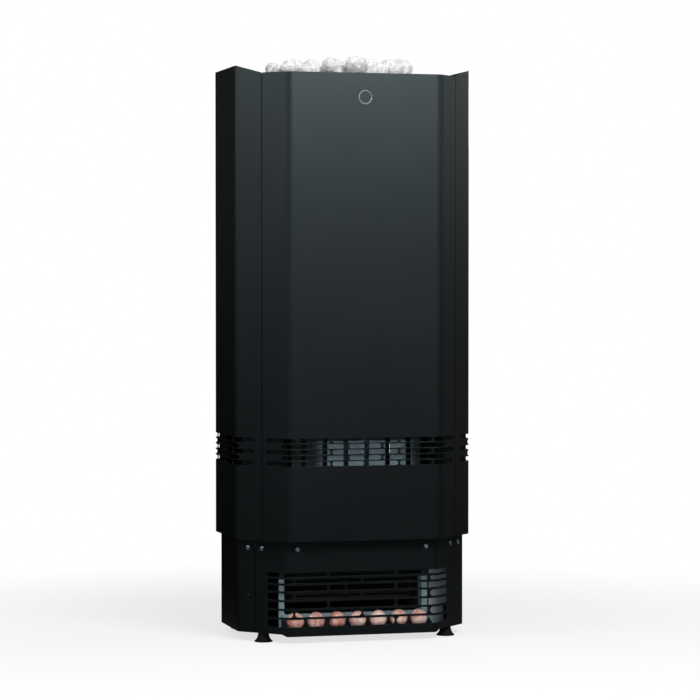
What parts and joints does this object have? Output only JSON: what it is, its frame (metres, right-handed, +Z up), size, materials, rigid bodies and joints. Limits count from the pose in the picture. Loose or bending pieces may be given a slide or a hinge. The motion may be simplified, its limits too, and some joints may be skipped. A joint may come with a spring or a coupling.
{
  "type": "sauna heater stove",
  "caption": "Tall free-standing electric sauna heater: folded black casing with slot bands round a stone-filled chamber, on a slotted base with a fan outlet and a tray of salt balls.",
  "frame": {"origin": "on the floor, under the middle of the casing", "axes": "+Z up, +X to the right and -Y out of the front as seen by someone facing the heater"},
  "size_m": [0.49, 0.368, 1.1801],
  "materials": {
    "black_paint": "satin black powder coat",
    "galvanised": "galvanised sheet",
    "chamber_steel": "heat-darkened stainless sheet",
    "element_steel": "heat-tinted stainless tube",
    "black_plastic": "moulded black",
    "ceramic": "unglazed",
    "foot_rubber": "matt black",
    "salt": "polished salt, pink with white veins",
    "sauna_stone": "rounded pale grey",
    "badge_steel": "plain disc"
  },
  "bodies": {
    "heater": {"front_panel": "black_paint", "rear_panel": "black_paint", "left_side_panel": "black_paint", "right_side_panel": "black_paint", "base_front_panel": "black_paint", "base_rear_panel": "black_paint", "base_left_panel": "black_paint", "base_right_panel": "black_paint", "fan_scroll": "black_paint", "salt_tray": "black_paint", "corner_post_front_left": "black_paint", "corner_post_front_right": "black_paint", "corner_post_rear_left": "black_paint", "corner_post_rear_right": "black_paint", "base_floor": "galvanised", "deck_plate": "galvanised", "chamber_skirt": "galvanised", "element_carrier": "galvanised", "outlet_duct": "galvanised", "terminal_box": "galvanised", "terminal_lid": "galvanised", "chamber_strap_front_left": "galvanised", "chamber_strap_front_right": "galvanised", "chamber_strap_rear_left": "galvanised", "chamber_strap_rear_right": "galvanised", "stone_chamber": "chamber_steel", "stone_grate": "chamber_steel", "fan_motor": "chamber_steel", "heating_element_1": "element_steel", "heating_element_2": "element_steel", "heating_element_3": "element_steel", "fan_bush": "black_plastic", "cable_gland": "black_plastic", "terminal_block": "ceramic", "salt_ball_1": "salt", "salt_ball_2": "salt", "salt_ball_3": "salt", "salt_ball_4": "salt", "salt_ball_5": "salt", "salt_ball_6": "salt", "salt_ball_7": "salt", "stone_bed": "sauna_stone", "stone_1": "sauna_stone", "stone_2": "sauna_stone", "stone_3": "sauna_stone", "stone_4": "sauna_stone", "stone_5": "sauna_stone", "stone_6": "sauna_stone", "stone_7": "sauna_stone", "stone_8": "sauna_stone", "stone_9": "sauna_stone", "stone_10": "sauna_stone", "stone_11": "sauna_stone", "stone_12": "sauna_stone", "badge_disc": "badge_steel"},
    "fan": {"fan_impeller": "black_plastic"},
    "levelling_foot_front_left": {"foot_front_left": "foot_rubber"},
    "levelling_foot_front_right": {"foot_front_right": "foot_rubber"},
    "levelling_foot_rear_left": {"foot_rear_left": "foot_rubber"},
    "levelling_foot_rear_right": {"foot_rear_right": "foot_rubber"}
  },
  "joints": [
    {"name": "fan_spin", "type": "hinge", "parent": "heater", "child": "fan", "pos_m": [0, -0.004, 0.0965], "axis": [1, 0, 0], "continuous": true},
    {"name": "foot_front_left_screw", "type": "slide", "parent": "heater", "child": "levelling_foot_front_left", "axis": [0, 0, -1], "range_m": [0, 0.02]},
    {"name": "foot_front_right_screw", "type": "slide", "parent": "heater", "child": "levelling_foot_front_right", "axis": [0, 0, -1], "range_m": [0, 0.02]},
    {"name": "foot_rear_left_screw", "type": "slide", "parent": "heater", "child": "levelling_foot_rear_left", "axis": [0, 0, -1], "range_m": [0, 0.02]},
    {"name": "foot_rear_right_screw", "type": "slide", "parent": "heater", "child": "levelling_foot_rear_right", "axis": [0, 0, -1], "range_m": [0, 0.02]}
  ]
}
